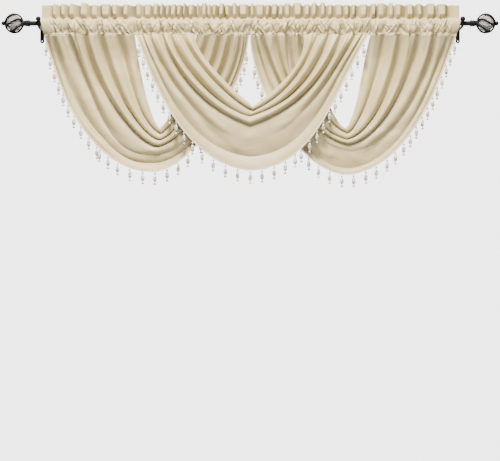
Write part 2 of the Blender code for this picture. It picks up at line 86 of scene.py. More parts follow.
def faux_silk():
    """Woven satin-faced polyester: soft highlights, faint slubs along the weft, a low sheen."""
    surface, tree, shader = new_material("faux_silk")
    uv = add_node(tree, "ShaderNodeUVMap", uv_map="cloth")
    slub_space = add_node(tree, "ShaderNodeMapping", {"Vector": uv.outputs["UV"]})
    slub_space.inputs["Scale"].default_value = (1.0 / SLUB_LENGTH, 1.0 / (THREAD_PITCH * 2.0), 1.0)
    slubs = add_node(tree, "ShaderNodeTexNoise", {"Vector": slub_space.outputs["Vector"]},
                     Scale=1.0, Detail=2.0)
    cloud = add_node(tree, "ShaderNodeTexNoise", {"Vector": uv.outputs["UV"]}, Scale=9.0, Detail=3.0)
    tone = add_node(tree, "ShaderNodeMath", {0: slubs.outputs["Fac"], 1: cloud.outputs["Fac"]},
                    operation="ADD")
    ramp = add_node(tree, "ShaderNodeMapRange", {"Value": tone.outputs[0]}, From_Min=0.6, From_Max=1.4)
    colour = add_node(tree, "ShaderNodeMix", {"Factor": ramp.outputs["Result"]}, data_type="RGBA")
    colour.inputs[6].default_value = linear(CHAMPAGNE_DEEP)
    colour.inputs[7].default_value = linear(CHAMPAGNE)
    tree.links.new(colour.outputs[2], shader.inputs["Base Color"])
    thread_space = add_node(tree, "ShaderNodeMapping", {"Vector": uv.outputs["UV"]})
    thread_space.inputs["Scale"].default_value = (1.0 / THREAD_PITCH, 1.0 / THREAD_PITCH, 1.0)
    warp = add_node(tree, "ShaderNodeTexWave", {"Vector": thread_space.outputs["Vector"]},
                    Scale=0.5, Distortion=0.6, bands_direction="X")
    weft = add_node(tree, "ShaderNodeTexWave", {"Vector": thread_space.outputs["Vector"]},
                    Scale=0.5, Distortion=0.6, bands_direction="Y")
    weave = add_node(tree, "ShaderNodeMath", {0: warp.outputs["Fac"], 1: weft.outputs["Fac"]},
                     operation="MULTIPLY")
    relief = add_node(tree, "ShaderNodeMath", {0: slubs.outputs["Fac"], 1: weave.outputs[0]}, operation="ADD")
    bump = add_node(tree, "ShaderNodeBump", {"Height": relief.outputs[0]}, Strength=0.25, Distance=0.0004)
    tree.links.new(bump.outputs["Normal"], shader.inputs["Normal"])
    rough = add_node(tree, "ShaderNodeMapRange", {"Value": cloud.outputs["Fac"]}, To_Min=0.40, To_Max=0.52)
    tree.links.new(rough.outputs["Result"], shader.inputs["Roughness"])
    shader.inputs["Specular IOR Level"].default_value = 0.45
    shader.inputs["Sheen Weight"].default_value = 0.06
    shader.inputs["Sheen Roughness"].default_value = 0.45
    shader.inputs["Sheen Tint"].default_value = linear("#F3EAD6")
    return surface


SILK = faux_silk()
CLOTH_THICK = 0.8
rod_low, rod_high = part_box("rod")
ROD_MIDDLE = np.array((rod_low + rod_high) / 2.0)


def in_row(points):
    """Millimetres about the rod's middle, turned to metres in the object's own frame."""
    return np.asarray(points, float) / 1000.0 + ROD_MIDDLE


def finish_mesh(name, mesh, surface):
    """Puts a mesh in the scene as a piece of the object."""
    piece = bpy.data.objects.new(name, mesh)
    bpy.context.scene.collection.objects.link(piece)
    mesh.materials.append(surface)
    mesh.shade_smooth()
    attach(piece, "root")
    return piece


def sheet_from_grid(name, grid, flat_u, flat_v):
    """A closed thin sheet from rows of points; flat_u and flat_v give each point's place in the cut cloth."""
    rows, columns = grid.shape[:2]
    index = np.arange(rows * columns).reshape(rows, columns)
    quads = np.stack((index[:-1, :-1], index[:-1, 1:], index[1:, 1:], index[1:, :-1]), axis=-1)
    mesh = bpy.data.meshes.new(name)
    mesh.from_pydata(in_row(grid.reshape(-1, 3)), [], quads.reshape(-1, 4).tolist())
    layer = mesh.uv_layers.new(name="cloth")
    corners = np.zeros(len(mesh.loops), int)
    mesh.loops.foreach_get("vertex_index", corners)
    flat = np.stack((flat_u.reshape(-1), flat_v.reshape(-1)), axis=-1) / 1000.0
    layer.data.foreach_set("uv", flat[corners].reshape(-1))
    piece = finish_mesh(name, mesh, SILK)
    bpy.ops.object.select_all(action="DESELECT")
    piece.select_set(True)
    bpy.context.view_layer.objects.active = piece
    thick = piece.modifiers.new("thickness", "SOLIDIFY")
    thick.thickness = CLOTH_THICK / 1000.0
    thick.offset = 0.0
    bpy.ops.object.modifier_apply(modifier=thick.name)
    return piece


# Swags: each is one shaped panel hung by its two gathered legs, so that its cloth falls in
# folds that run from leg to leg. The lower folds lap over each other, and the hem is turned up
# wide and topstitched along its crease. It is laid here on the folds of its solid.
STITCH_Z = -38.0
# Columns: line, x at the left stitch, two curve handles, lowest point, two curve handles,
# x at the right stitch, how far the line stands forward on the legs and at the bottom, how far
# the fold below it rises in these two places, how far that fold laps over the next one at the
# bottom, and how late it changes from the one to the other on its way down.
SWAG_LINES = {
    "left": (
        ("neck", -386, (-376, -155), (-332, -335), (-303, -349), (-261, -331), (-197, -146), -179,
         6, 9, 15, 8, 0.26, 4.0),
        ("v1", -445, (-417, -154), (-376, -329), (-300, -367), (-234, -328), (-161, -123), -136,
         0, 0, 31, 14, 0.28, 4.0),
        ("v2", -506, (-490, -184), (-358, -385), (-303, -387), (-237, -371), (-106, -145), -100,
         0, 0, 31, 15, 0.28, 4.0),
        ("v3", -559, (-552, -176), (-373, -418), (-303, -407), (-199, -377), (-67, -158), -63,
         0, 0, 31, 8, 0.08, 2.0),
        ("v4", -612, (-548, -173), (-498, -457), (-337, -435), (-166, -452), (-19, -128), -33,
         3, 4, 17, 3, 0.0, 1.2),
        ("hem", -690, (-653, -240), (-528, -490), (-337, -497), (-215, -512), (-24, -245), -3,
         -1, 13, 0, 0, 0.0, 4.0),
    ),
    "centre": (
        ("neck", -180, (-209, -101), (32, -302), (10, -280), (82, -231), (199, -128), 178,
         6, 10, 14, 8, 0.26, 4.0),
        ("v1", -233, (-181, -139), (-68, -258), (10, -291), (88, -257), (162, -196), 230,
         0, 3, 29, 9, 0.28, 4.0),
        ("v2", -269, (-254, -125), (-95, -295), (0, -310), (114, -275), (204, -207), 266,
         0, 0, 29, 15, 0.28, 4.0),
        ("v3", -297, (-235, -203), (-140, -287), (0, -337), (137, -289), (241, -216), 309,
         0, 2, 29, 3, 0.0, 2.0),
        ("v4", -341, (-298, -166), (-160, -373), (-7, -395), (155, -403), (278, -158), 357,
         2, 6, 17, 1, 0.0, 1.2),
        ("hem", -383, (-316, -230), (-213, -473), (0, -495), (230, -486), (282, -223), 400,
         5, 15, 0, 0, 0.0, 4.0),
    ),
    "right": (
        ("neck", 177, (208, -135), (285, -356), (323, -349), (357, -318), (379, -146), 403,
         6, 9, 15, 8, 0.26, 4.0),
        ("v1", 168, (171, -137), (233, -325), (320, -361), (344, -403), (467, -112), 446,
         0, 0, 30, 14, 0.28, 4.0),
        ("v2", 131, (116, -223), (230, -363), (325, -385), (408, -370), (506, -176), 506,
         0, 0, 31, 14, 0.28, 4.0),
        ("v3", 84, (93, -168), (203, -385), (330, -401), (469, -381), (571, -97), 568,
         0, 1, 31, 4, 0.0, 2.0),
        ("v4", 30, (69, -140), (164, -414), (344, -427), (489, -408), (618, -188), 621,
         2, 3, 17, 1, 0.0, 1.2),
        ("hem", 1, (-8, -156), (147, -514), (337, -507), (524, -479), (636, -238), 692,
         5, 8, 0, 0, 0.0, 4.0),
    ),
}
# A shallow groove splits some ridges below the stitches: depth as a share and place across each.
GROOVES = {
    "left": ((0.0, 0.5), (0.34, 0.46), (0.0, 0.5), (0.38, 0.55), (0.42, 0.44)),
    "centre": ((0.0, 0.5), (0.28, 0.55), (0.36, 0.45), (0.30, 0.56), (0.34, 0.50)),
    "right": ((0.30, 0.55), (0.42, 0.44), (0.34, 0.56), (0.42, 0.47), (0.26, 0.52)),
}
GROOVE_DROP = 200.0                # the drop over which the grooves close
GROOVE_HALF = 0.13                 # half a groove's width, as a share of its fold's
CREASE = (5, -3, 3, 3, 0.0, 2.0)   # the hem crease's own last six columns
HEM_ON_LEGS = 24.0                 # how wide the turned hem is on the legs, and at the bottom
HEM_AT_BOTTOM = {"left": 39.0, "centre": 48.0, "right": 21.0}
# How far behind the rod's middle the valleys between the folds lie: at the stitch line, further
# down, and how much less of that at the bottom; then the drop over which they go back.
VALLEY_AT_STITCH = 1.0
VALLEY = {"left": 37.0, "centre": -5.0, "right": 37.0}
VALLEY_FORWARD = {"left": 17.0, "centre": 0.0, "right": 17.0}
FALL = 170.0
# Where a side swag passes behind the centre one it lies flatter and closer to it. Each row: a
# point on the centre's hem, how its x changes with height, and which way its cover lies.
BEHIND = {"left": (-262.0, -300.0, -0.626, 1.0), "right": (289.0, -247.0, 0.648, -1.0)}
BEHIND_WIDE = 70.0                 # it gets there over this width, and from this height down
BEHIND_FROM = -200.0
BEHIND_DROP = 80.0
BEHIND_CLOSER = 16.0
BEHIND_FLATTER = 0.55
FOLD_SIDE = 0.28                   # curve handles that make each fold's section,
FOLD_ARCH = 1.33                   # with its middle at its full height,
LAP_ACROSS = 1.7                   # and how a lap pulls it over the next fold
LAP_ARCH = 0.9
RISE_AT_STITCH = 0.60              # how far the folds are open at the stitch line
OPENING = 46.0                     # and the drop over which they open fully
RIDGE_POWER = 2.3                  # above 1 narrows the ridges and widens the valleys on the legs
GATHER_PITCH = 8.5                 # small gathers that die out below the stitch
GATHER_SLANT = 0.25
GATHER_DROP = 58.0
GATHER_HIGH = 2.6
# Soft creases across the cloth: x and z of both ends, how far the line bows aside, half width,
# and height, which is negative for a trough.
SOFT_CREASES = {
    "left": (
        (-611, -150, -505, -392, 14, 15.0, -5.0),
        (-640, -190, -548, -372, 12, 16.0, 4.0),
        (-566, -300, -452, -436, 16, 14.0, 4.5),
        (-520, -250, -420, -400, 16, 11.0, -3.5),
        (-470, -425, -330, -462, 6, 11.0, 3.0),
        (-330, -448, -232, -430, -5, 10.0, -2.5),
        (-585, -90, -560, -200, 4, 9.0, -3.5),
        (-655, -70, -640, -150, 3, 10.0, -2.5),
        (-60, -120, -110, -240, -6, 9.0, -3.0),
        (-360, -418, -290, -432, 3, 8.0, 2.5),
    ),
    "centre": (
        (-212, -262, -84, -402, 8, 13.0, -5.0),
        (-250, -215, -150, -352, 8, 14.0, 4.0),
        (-160, -290, -60, -372, 6, 12.0, 4.0),
        (-80, -395, 60, -446, 12, 16.0, 3.0),
        (120, -392, 232, -270, 10, 16.0, -3.0),
        (80, -352, 190, -292, 6, 12.0, 3.0),
        (-322, -160, -250, -300, 8, 11.0, -3.0),
        (292, -190, 222, -330, -8, 11.0, -3.5),
        (0, -360, 10, -440, 5, 20.0, 2.5),
        (-330, -70, -318, -140, 3, 8.0, -3.0),
        (330, -70, 318, -150, -3, 8.0, -3.0),
    ),
    "right": (
        (196, -398, 300, -446, 8, 12.0, 3.5),
        (150, -352, 238, -452, 10, 13.0, -4.0),
        (372, -432, 470, -352, -12, 12.0, 4.5),
        (400, -452, 520, -330, -14, 14.0, -4.0),
        (560, -300, 600, -170, -8, 13.0, 4.0),
        (330, -440, 420, -470, 5, 16.0, 2.5),
        (60, -130, 90, -250, 5, 9.0, -3.0),
        (640, -80, 612, -190, -5, 10.0, -3.5),
        (585, -90, 560, -180, -4, 8.0, 3.0),
    ),
}
CREASE_OVER = 0.15                 # share of its length by which a soft crease runs past its ends
CREASE_FADE = 0.40                 # and over which it fades
CREASE_FREE = 50.0                 # the drop below the stitches over which the creases begin
WRINKLE = ((46.0, 2.3), (19.0, 0.9))  # pitch and height of the faint random unevenness
NOISE_KNOTS = 400
NOISE_START = 150.0
HALF_STEPS = 84
FOLD_STEPS = 16
TAPE_WIDE = 5.2


def half_line(stitch_x, upper, lower, lowest, steps):
    """Points at equal spacing down one side of a fold line, stitch to lowest point."""
    points = [np.array((stitch_x, STITCH_Z)), np.array(upper), np.array(lower), np.array(lowest)]
    part = np.linspace(0.0, 1.0, 201)[:, None]
    rest = 1.0 - part
    curve = rest ** 3 * points[0] + 3.0 * rest ** 2 * part * points[1]
    curve = curve + 3.0 * rest * part ** 2 * points[2] + part ** 3 * points[3]
    travel = np.concatenate(([0.0], np.cumsum(np.linalg.norm(np.diff(curve, axis=0), axis=1))))
    spots = np.linspace(0.0, travel[-1], steps + 1)
    return np.column_stack([np.interp(spots, travel, curve[:, axis]) for axis in (0, 1)])


def whole_line(row):
    """Points along a fold line from its left stitch round to its right one."""
    left = half_line(row[1], row[2], row[3], row[4], HALF_STEPS)
    right = half_line(row[7], row[6], row[5], row[4], HALF_STEPS)
    return np.concatenate((left, right[-2::-1]))


def outward_normals(line):
    """Unit vectors pointing down and out from a hem line that runs left to right."""
    ahead = np.gradient(line, axis=0)
    ahead = ahead / np.linalg.norm(ahead, axis=1)[:, None]
    return np.column_stack((ahead[:, 1], -ahead[:, 0]))


def fallen(height):
    """From 0 at the stitch to 1, quick at first and then level."""
    left_over = 1.0 - np.clip((STITCH_Z - height) / FALL, 0.0, 1.0)
    return 1.0 - left_over ** 3


def bezier(part, a, b, c, d):
    """A curve from a to d with handles b and c."""
    rest = 1.0 - part
    return rest ** 3 * a + 3.0 * rest ** 2 * part * b + 3.0 * rest * part ** 2 * c + part ** 3 * d


def smooth_noise(values, pitch, seed):
    """A gentle random wave along a line, from -1 to 1, repeatable for its seed."""
    rng = random.Random(seed)
    knots = [rng.uniform(-1.0, 1.0) for _ in range(NOISE_KNOTS)]
    place = np.asarray(values) / pitch + NOISE_START
    first = np.floor(place).astype(int)
    part = place - first
    ease = part * part * (3.0 - 2.0 * part)
    low = np.take(knots, first % NOISE_KNOTS)
    high = np.take(knots, (first + 1) % NOISE_KNOTS)
    return low + (high - low) * ease


def uneven(x, z, pitch, seed):
    """Gentle random hills over the cloth, from about -1 to 1."""
    first = smooth_noise(x * 0.86 + z * 0.50, pitch, seed + "a")
    second = smooth_noise(x * 0.26 - z * 0.97, pitch * 1.3, seed + "b")
    third = smooth_noise(z * 0.80 - x * 0.60, pitch * 0.8, seed + "c")
    return first * second + 0.5 * third * first


def crease_height(x, z, crease):
    """Forward height at each point from one soft crease, faded out towards both its ends."""
    x0, z0, x1, z1, bow, wide, tall = crease
    ahead = np.array((x1 - x0, z1 - z0), float)
    length = np.linalg.norm(ahead)
    ahead = ahead / length
    part = ((x - x0) * ahead[0] + (z - z0) * ahead[1]) / length
    aside = (x - x0) * -ahead[1] + (z - z0) * ahead[0]
    bent = aside + bow * np.sin(math.pi * np.clip(part, 0.0, 1.0))
    fade = np.clip((part + CREASE_OVER) / CREASE_FADE, 0.0, 1.0)
    fade = fade * np.clip((1.0 + CREASE_OVER - part) / CREASE_FADE, 0.0, 1.0)
    return tall * fade * fade * np.exp(-(bent / wide) ** 2)


def easing(part):
    """From 0 to 1, gently at both ends."""
    part = np.clip(part, 0.0, 1.0)
    return part * part * (3.0 - 2.0 * part)


def tucked_behind(name, flat):
    """From 0 in the open to 1 where a side swag goes behind the centre one."""
    if name not in BEHIND:
        return np.zeros(len(flat))
    x, z, slope, way = BEHIND[name]
    inside = way * (flat[:, 0] - x - slope * (flat[:, 1] - z))
    return easing(inside / BEHIND_WIDE + 1.0) * easing((BEHIND_FROM - flat[:, 1]) / BEHIND_DROP)


def swag_grid(name):
    """A swag's rows of points, neck to hem, its outer hem edge, and that edge's normals and depths."""
    table = SWAG_LINES[name]
    lines = [whole_line(row) for row in table]
    facts = [row[8:] for row in table]
    arch = np.sin(math.pi * np.linspace(0.0, 1.0, 2 * HALF_STEPS + 1))
    edge = lines[-1].copy()
    normals = outward_normals(edge)
    inward = lines[-2] - edge
    span = np.linalg.norm(inward, axis=1)
    width = HEM_ON_LEGS + (HEM_AT_BOTTOM[name] - HEM_ON_LEGS) * arch ** 4
    lines.insert(-1, edge + inward * np.minimum(0.5, width / span)[:, None])
    facts.insert(-1, CREASE)
    lines[-1] = edge - normals * TAPE_WIDE
    for end in (0, -1):
        ahead = np.array((-normals[end, 1], normals[end, 0]))
        lines[-1][end] += ahead * (STITCH_Z - lines[-1][end, 1]) / ahead[1]

    rows = []
    for index in range(len(lines) - 1):
        upper, lower = facts[index], facts[index + 1]
        low = arch ** upper[5]
        first = upper[0] + (upper[1] - upper[0]) * low
        second = lower[0] + (lower[1] - lower[0]) * low
        rise = upper[2] + (upper[3] - upper[2]) * low
        lap = upper[4] * low
        closing = 1 if index == len(lines) - 2 else 0
        for step in range(FOLD_STEPS + closing):
            part = step / FOLD_STEPS
            across = bezier(part, 0.0, FOLD_SIDE, 1.0 - FOLD_SIDE + LAP_ACROSS * lap, 1.0)
            arched = np.abs(bezier(part, 0.0, FOLD_ARCH - lap, FOLD_ARCH + LAP_ARCH * lap, 0.0))
            height = arched ** (RIDGE_POWER - (RIDGE_POWER - 1.0) * low)
            flat = lines[index] * (1.0 - across)[:, None] + lines[index + 1] * across[:, None]
            if index < len(GROOVES[name]):
                deep, spot = GROOVES[name][index]
                closing_in = np.clip(1.0 - (STITCH_Z - flat[:, 1]) / GROOVE_DROP, 0.0, 1.0)
                groove = math.exp(-((part - spot) / GROOVE_HALF) ** 2)
                height = height * (1.0 - deep * groove * closing_in)
            tucked = tucked_behind(name, flat)
            forward = first * (1.0 - part) + second * part + rise * height * (1.0 - BEHIND_FLATTER * tucked)
            down = fallen(flat[:, 1])
            set_back = VALLEY[name] - VALLEY_AT_STITCH - VALLEY_FORWARD[name] * arch ** 2
            valley = VALLEY_AT_STITCH + set_back * down - BEHIND_CLOSER * tucked
            shut = np.clip(1.0 - (STITCH_Z - flat[:, 1]) / OPENING, 0.0, 1.0) ** 2
            depth = valley - forward * (1.0 - (1.0 - RISE_AT_STITCH) * shut)
            rows.append(np.column_stack((flat[:, 0], depth, flat[:, 1])))
    grid = np.array(rows)
    x, z = grid[:, :, 0], grid[:, :, 2]
    below = STITCH_Z - z
    near = np.clip(1.0 - below / GATHER_DROP, 0.0, 1.0) ** 1.5
    gathers = smooth_noise(x + GATHER_SLANT * below, GATHER_PITCH, "gathers " + name) * GATHER_HIGH * near
    creases = sum(crease_height(x, z, crease) for crease in SOFT_CREASES[name])
    for pitch, tall in WRINKLE:
        creases = creases + tall * uneven(x, z, pitch, name + str(pitch))
    grid[:, :, 1] -= gathers + creases * np.clip(below / CREASE_FREE, 0.0, 1.0)
    return grid, edge, normals


def travel_of(grid, axis):
    """Distance travelled along a grid, averaged so that it makes an even flat pattern."""
    steps = np.linalg.norm(np.diff(grid, axis=axis), axis=2)
    mean = steps.mean(axis=1 - axis)
    return np.concatenate(([0.0], np.cumsum(mean)))


swag_edges = {}
swag_tops = {}
for name in ("left", "centre", "right"):
    grid, edge, normals = swag_grid(name)
    swag_edges[name] = (edge, normals, grid[-1][:, 1])
    swag_tops[name] = (grid[:, 0], grid[:, -1])
    down, along = travel_of(grid, 0), travel_of(grid, 1)
    flat_u, flat_v = np.meshgrid(along, down)
    swag = sheet_from_grid("swag_cloth_" + name, grid, flat_u, flat_v)
    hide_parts("swag_" + name)


# Trim: a narrow three-strand braid is sewn along each swag's outer hem edge, and drops hang from
# it on short threads: a round pearl, a long eight-sided teardrop and a small flared end bead, all
# moulded in clear, faintly pearly acrylic.
STRAND_RADIUS = 1.15
BRAID_HALF = 1.9               # how far a strand swings to either side
BRAID_DEEP = 0.8
BRAID_TURN = 8.5               # length of one full crossing
BRAID_STEPS = 8
BRAID_INSIDE = 3.0             # from the hem's outer edge in to the braid's middle
THREAD_RADIUS = 0.6
DROP_BEADS = (                 # each bead: half profile as height below the hem and radius
    ((-2.0, 0.4), (-3.2, 2.7), (-5.6, 3.8), (-8.0, 2.7), (-9.2, 0.4)),
    ((-10.0, 0.6), (-12.0, 2.9), (-17.0, 4.9), (-23.5, 6.2), (-29.0, 5.7), (-33.4, 2.7), (-34.6, 0.6)),
    ((-35.4, 0.6), (-36.8, 2.3), (-40.6, 4.9), (-43.0, 3.9), (-44.0, 0.6)),
)
DROP_LOW = DROP_BEADS[-1][-1][0]
DROP_SWAY = 1.2                # how far a drop's end strays to either side
BEAD_SIDES = 8
# Where the drops hang: heights down the left side, places along the bottom, heights on the right
DROPS = {
    "left": (
        (-62, -106, -149, -191, -230, -268, -305, -342, -378, -410),
        (-505, -477, -445, -404, -361, -319, -278, -241, -208),
        (-392, -359, -326, -293, -260, -227, -194, -160, -125, -90),
    ),
    "centre": (
        (-70, -110, -148, -186, -223, -259, -295, -330, -364, -397),
        (-159, -122, -82, -42, 1, 40, 81, 118, 150, 170),
        (-392, -360, -327, -292, -257, -221, -184, -147, -109, -70),
    ),
    "right": (
        (-137, -173, -210, -243, -275, -306, -337, -367, -397),
        (197, 230, 268, 308, 348, 389, 424, 461, 489),
        (-398, -370, -341, -310, -277, -243, -208, -171, -133, -95, -60),
    ),
}
TRIM_NODES = {
    "left": ("trim_left_outer", "trim_left_bottom", "trim_left_inner"),
    "centre": ("trim_centre_left_top", "trim_centre_left", "trim_centre_bottom", "trim_centre_right",
               "trim_centre_right_top"),
    "right": ("trim_right_inner", "trim_right_bottom", "trim_right_outer"),
}


def braid_yarn():
    """Twisted rayon yarn, a little lighter and glossier than the cloth."""
    surface, tree, shader = new_material("braid_yarn")
    space = add_node(tree, "ShaderNodeTexCoord")
    twist = add_node(tree, "ShaderNodeTexNoise", {"Vector": space.outputs["Object"]}, Scale=900.0, Detail=2.0)
    colour = add_node(tree, "ShaderNodeMix", {"Factor": twist.outputs["Fac"]}, data_type="RGBA")
    colour.inputs[6].default_value = linear("#CDBB8E")
    colour.inputs[7].default_value = linear("#F2E8CC")
    tree.links.new(colour.outputs[2], shader.inputs["Base Color"])
    bump = add_node(tree, "ShaderNodeBump", {"Height": twist.outputs["Fac"]}, Strength=0.5, Distance=0.0004)
    tree.links.new(bump.outputs["Normal"], shader.inputs["Normal"])
    shader.inputs["Roughness"].default_value = 0.5
    return surface


def pearly_acrylic():
    """Clear moulded acrylic with a faint milky, pearly cloud in it."""
    surface, tree, shader = new_material("pearly_acrylic")
    space = add_node(tree, "ShaderNodeTexCoord")
    cloud = add_node(tree, "ShaderNodeTexNoise", {"Vector": space.outputs["Object"]}, Scale=160.0, Detail=2.0)
    clear = add_node(tree, "ShaderNodeMapRange", {"Value": cloud.outputs["Fac"]}, To_Min=0.05, To_Max=0.45)
    tree.links.new(clear.outputs["Result"], shader.inputs["Transmission Weight"])
    tone = add_node(tree, "ShaderNodeMapRange", {"Value": cloud.outputs["Fac"]}, From_Min=0.35, From_Max=0.62)
    colour = add_node(tree, "ShaderNodeMix", {"Factor": tone.outputs["Result"]}, data_type="RGBA")
    colour.inputs[6].default_value = linear("#918F7A")
    colour.inputs[7].default_value = linear("#F6F3E8")
    tree.links.new(colour.outputs[2], shader.inputs["Base Color"])
    shader.inputs["Roughness"].default_value = 0.12
    shader.inputs["IOR"].default_value = 1.49
    return surface


BRAID_YARN = braid_yarn()
ACRYLIC = pearly_acrylic()


def tubes(paths, radius, roundness):
    """A mesh of round tubes along lists of points, with capped ends, from a bevelled curve."""
    curve = bpy.data.curves.new("tubes", "CURVE")
    curve.dimensions = "3D"
    curve.bevel_depth = radius / 1000.0
    curve.bevel_resolution = roundness
    curve.use_fill_caps = True
    for points in paths:
        spline = curve.splines.new("POLY")
        spline.points.add(len(points) - 1)
        flat = np.column_stack((in_row(points), np.ones(len(points))))
        spline.points.foreach_set("co", flat.reshape(-1))
    holder = bpy.data.objects.new("tubes", curve)
    bpy.context.scene.collection.objects.link(holder)
    bpy.ops.object.select_all(action="DESELECT")
    holder.select_set(True)
    bpy.context.view_layer.objects.active = holder
    bpy.ops.object.convert(target="MESH")
    return bpy.context.object


def turned(profile, sides, place, axis="Z"):
    """A closed bead or boss turned about an axis from (distance along it, radius) pairs."""
    mesh = bpy.data.meshes.new("turned")
    along, out = (2, 0) if axis == "Z" else (0, 2)
    points = np.zeros((len(profile), 3))
    points[:, along] = [row[0] for row in profile]
    points[:, out] = [row[1] for row in profile]
    mesh.from_pydata(points / 1000.0, [(i, i + 1) for i in range(len(profile) - 1)], [])
    piece = bpy.data.objects.new("turned", mesh)
    bpy.context.scene.collection.objects.link(piece)
    bpy.ops.object.select_all(action="DESELECT")
    piece.select_set(True)
    bpy.context.view_layer.objects.active = piece
    lathe = piece.modifiers.new("lathe", "SCREW")
    lathe.axis = axis
    lathe.steps = sides
    lathe.render_steps = sides
    lathe.use_merge_vertices = True
    lathe.merge_threshold = 0.00001
    bpy.ops.object.modifier_apply(modifier=lathe.name)
    bpy.ops.object.mode_set(mode="EDIT")
    bpy.ops.mesh.select_all(action="SELECT")
    bpy.ops.mesh.fill_holes(sides=sides)
    bpy.ops.mesh.normals_make_consistent(inside=False)
    bpy.ops.object.mode_set(mode="OBJECT")
    bpy.ops.transform.translate(value=tuple(in_row(place)))
    bpy.ops.object.transform_apply(location=True, rotation=True, scale=True)
    return piece


def joined(name, pieces, surface):
    """Several parts made one piece of the object, in one material."""
    bpy.ops.object.select_all(action="DESELECT")
    for piece in pieces:
        piece.select_set(True)
    bpy.context.view_layer.objects.active = pieces[0]
    if len(pieces) > 1:
        bpy.ops.object.join()
    piece = bpy.context.object
    piece.name = name
    piece.data.name = name
    piece.data.materials.clear()
    piece.data.materials.append(surface)
    piece.data.shade_smooth()
    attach(piece, "root")
    return piece


def braid(name):
    """Three strands that cross over and under each other along a swag's hem edge."""
    edge, normals, depth = swag_edges[name]
    middle = np.column_stack((edge - normals * BRAID_INSIDE, depth - 0.5))
    travel = np.concatenate(([0.0], np.cumsum(np.linalg.norm(np.diff(middle, axis=0), axis=1))))
    spots = np.arange(0.0, travel[-1], BRAID_TURN / BRAID_STEPS)
    line = np.column_stack([np.interp(spots, travel, middle[:, axis]) for axis in (0, 1, 2)])
    out = np.column_stack([np.interp(spots, travel, normals[:, axis]) for axis in (0, 1)])
    paths = []
    for strand in range(3):
        turn = 2.0 * math.pi * (spots / BRAID_TURN + strand / 3.0)
        aside = BRAID_HALF * np.sin(turn)
        front = BRAID_DEEP * np.sin(2.0 * turn)
        x = line[:, 0] + out[:, 0] * aside
        z = line[:, 1] + out[:, 1] * aside
        paths.append(np.column_stack((x, line[:, 2] - front, z)))
    return tubes(paths, STRAND_RADIUS, 1)


def drop_places(name):
    """Where each drop's thread leaves the hem, straight below the braid."""
    edge, normals, depth = swag_edges[name]
    lowest = int(np.argmin(edge[:, 1]))
    left, bottom, right = DROPS[name]
    places = []
    for z in left:
        spot = np.interp(-z, -edge[:lowest + 1, 1], np.arange(lowest + 1))
        places.append(spot)
    for x in bottom:
        places.append(np.interp(x, edge[:, 0], np.arange(len(edge))))
    for z in right:
        spot = np.interp(z, edge[lowest:, 1], np.arange(lowest, len(edge)))
        places.append(spot)
    index = np.arange(len(edge))
    xs = np.interp(places, index, edge[:, 0])
    ys = np.interp(places, index, depth)
    zs = np.interp(places, index, edge[:, 1])
    return np.column_stack((xs, ys - 0.5, zs))


for name in ("left", "centre", "right"):
    places = drop_places(name)
    rng = random.Random("drops " + name)
    threads = []
    beads = []
    for x, y, z in places:
        sway = rng.uniform(-DROP_SWAY, DROP_SWAY)
        halfway = (x + sway * 0.5, y, z + DROP_LOW * 0.5)
        threads.append(np.array(((x, y, z + 1.5), (x, y, z - 3.0), halfway, (x + sway, y, z + DROP_LOW))))
        for profile in DROP_BEADS:
            middle = profile[len(profile) // 2][0]
            beads.append(turned(profile, BEAD_SIDES, (x + sway * middle / DROP_LOW, y, z)))
    sewn = [braid(name), tubes(threads, THREAD_RADIUS, 0)]
    braid_piece = joined("braid_" + name, sewn, BRAID_YARN)
    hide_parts(*TRIM_NODES[name])
    drops_piece = joined("drops_" + name, beads, ACRYLIC)
    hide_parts(*TRIM_NODES[name])


# Headings: over each leg a strip of the cloth is folded over the rod and stitched along two lines,
# which makes the pocket that the rod runs through and a frill that stands above it. Pushed
# together on the rod, the pocket puckers between the stitches and the frill stands in flutes.
UPPER_STITCH = 16.0
FRILL_TOP = 60.0
FLAT_END = 34.0                # the ungathered side hem at the valance's two outer ends
FLAT_FADE = 14.0               # and how soon the gathers begin beside it
FLUTE_FRONT = -14.0            # how far a flute stands forward, and its gap back
FLUTE_BACK = 30.0
GAP_CLOSING = 0.80             # share of a gap's depth that is lost by the frill's top edge
FLUTE_FOOT = (0.08, 0.34)      # of half a sine wave: below it lies the gap
FLUTE_SHOULDER = (0.66, 0.97)  # and above this one the flat front
FLUTE_RISE = 4.2               # how far flutes stand above their gaps at the frill's top edge
FLUTE_SWAY = 5.2               # how far flutes lean sideways at their tops, in waves of this pitch,
SWAY_PITCH = 19.0              # dying out this near to a piece's ends
SWAY_FADE = 12.0
COLUMN_STEP = 1.3
POCKET_ROWS = 34
FRILL_ROWS = 22
FRILL_THICK = 2.6              # over both layers of the frill
ROD_CLEAR = 8.7
ROD_GAP = 0.4                  # and the least room between the rod and the pocket's cloth
SEAM_GAP = 1.8                 # between the pocket's layers at the lower stitch
SEAM_TURN = 8.0                # the pocket fills out over this height above it
FOLD_CARRY = 1.20              # how strongly the swag's folds run up into the pocket
CARRY_TOP = 8.0                # where they end there, and the height over which they fade
CARRY_FADE = 30.0
END_SLANT = 0.09               # the pieces' ends meet on a slant, so that no gap shows through,
SLANT_TURNS = (40.0, 140.0)    # and between these places it changes its direction
# z and half depth of the pocket, from the upper stitch down
POCKET = ((16.0, 1.2), (9.2, 10.0), (2.0, 12.0), (-5.0, 12.6),
          (-15.0, 11.4), (-23.5, 9.0), (-32.0, 5.0), (-38.0, 0.9))
